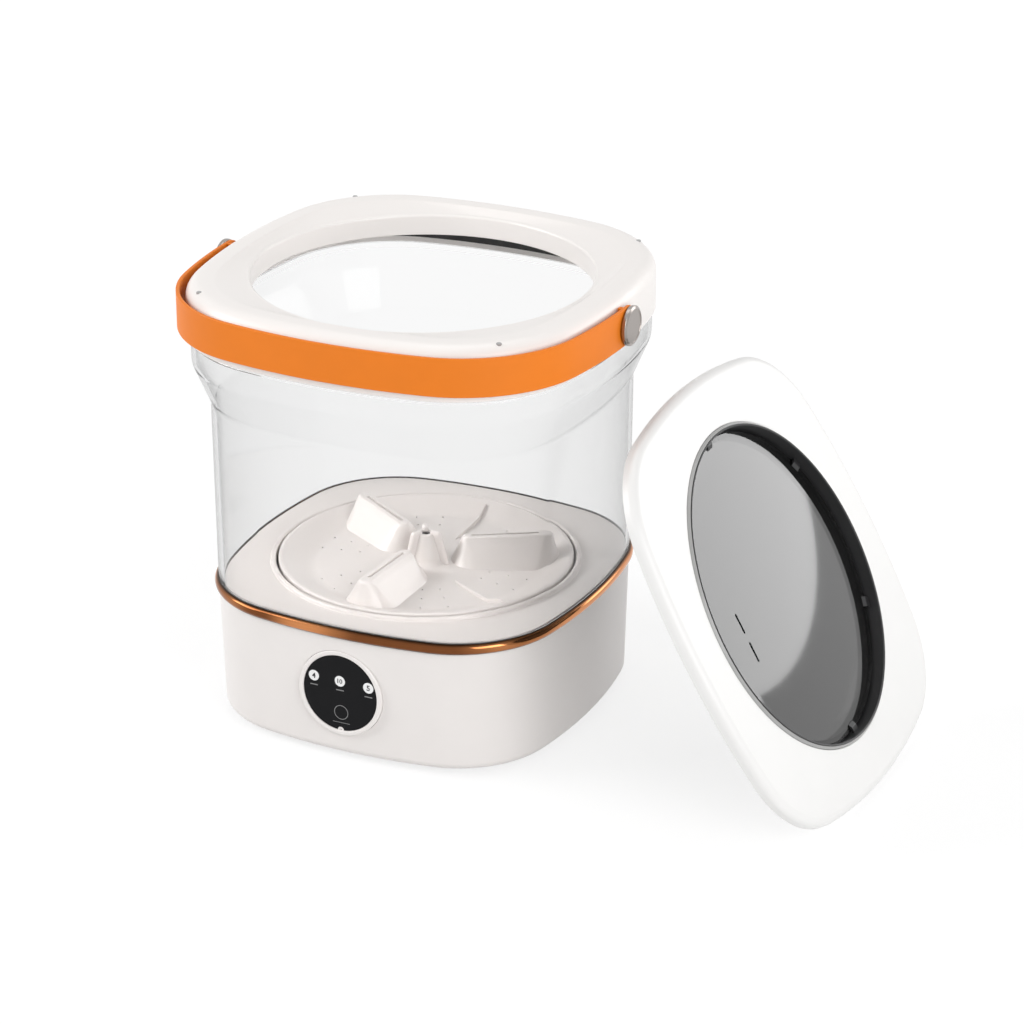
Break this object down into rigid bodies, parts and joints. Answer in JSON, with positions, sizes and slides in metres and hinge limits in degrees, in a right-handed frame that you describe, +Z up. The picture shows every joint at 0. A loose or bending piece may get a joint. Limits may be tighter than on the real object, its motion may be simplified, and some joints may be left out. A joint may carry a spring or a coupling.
{
  "type": "mini washing machine",
  "caption": "Portable top-loading mini washer: clear square tub on a white base, round mouth, swinging carry strap, paddled pulsator and a lid with a round smoked window, leaning.",
  "frame": {"origin": "on the floor under the middle of the machine, on the axis that the pulsator turns on", "axes": "+Z up, -Y towards the control panel, +X towards the lid that leans beside the machine"},
  "size_m": [0.4615, 0.274, 0.2928],
  "materials": {
    "white_plastic": "satin",
    "clear_plastic": "clear, glossy",
    "copper_trim": "plated, polished",
    "strap": "satin",
    "cap_metal": "brushed",
    "steel": "plain",
    "aluminium": "cast",
    "black_panel": "glossy",
    "dark_plastic": "satin",
    "smoked": "smoked, glossy",
    "rubber_dark": "matte",
    "rubber_grey": "matte",
    "board": "satin",
    "motor_case": "satin"
  },
  "bodies": {
    "machine": {"base_housing": "white_plastic", "bottom_cover": "white_plastic", "cover_screws": "steel", "foot_ring": "rubber_grey", "trim_ring": "copper_trim", "tub": "clear_plastic", "tub_floor": "white_plastic", "floor_seal": "rubber_grey", "rim_gasket": "rubber_dark", "collar": "white_plastic", "collar_plugs": "dark_plastic", "pivot_pins": "steel", "pivot_nuts": "steel", "pivot_washers": "rubber_dark", "pivot_caps": "cap_metal", "upper_bearing": "steel", "lower_bearing": "steel", "shaft_seal": "rubber_dark", "drive_belt": "rubber_dark", "motor": "motor_case", "motor_bracket": "steel", "bracket_screws": "steel", "motor_screws": "steel", "control_panel": "black_panel", "panel_bezel": "white_plastic", "control_board": "board", "board_screws": "steel", "drive_board": "board", "drive_board_screws": "steel", "power_inlet": "dark_plastic", "inlet_nut": "steel", "drain_elbow": "white_plastic"},
    "handle": {"handle_strap": "strap"},
    "pulsator_drive": {"pulsator": "white_plastic", "pulsator_screw": "steel", "drive_shaft": "steel", "drive_pulley": "aluminium", "pulley_nut": "steel"},
    "motor_rotor": {"motor_shaft": "steel", "motor_pulley": "aluminium"},
    "lid": {"lid_frame": "white_plastic", "lid_liner": "white_plastic", "lid_screws": "steel", "window_ring": "dark_plastic", "lid_window": "smoked", "lid_seal": "rubber_grey"},
    "stopper": {"drain_plug": "rubber_grey"}
  },
  "joints": [
    {"name": "handle_swing", "type": "hinge", "parent": "machine", "child": "handle", "pos_m": [0, 0, 0.2736], "axis": [-1, 0, 0], "range_deg": [0, 180]},
    {"name": "pulsator_spin", "type": "hinge", "parent": "machine", "child": "pulsator_drive", "pos_m": [0, 0, 0.085], "axis": [0, 0, 1], "continuous": true},
    {"name": "motor_spin", "type": "hinge", "parent": "machine", "child": "motor_rotor", "pos_m": [-0.04384, 0.04384, 0.018], "axis": [0, 0, 1], "continuous": true},
    {"name": "lid_lift", "type": "slide", "parent": "machine", "child": "lid", "axis": [0, 0, 1], "range_m": [0, 0.3]},
    {"name": "stopper_pull", "type": "slide", "parent": "machine", "child": "stopper", "axis": [0, 1, 0], "range_m": [0, 0.02]}
  ],
  "couplings": [
    {"joint": "motor_spin", "follows": "pulsator_spin", "ratio": 5.75}
  ]
}
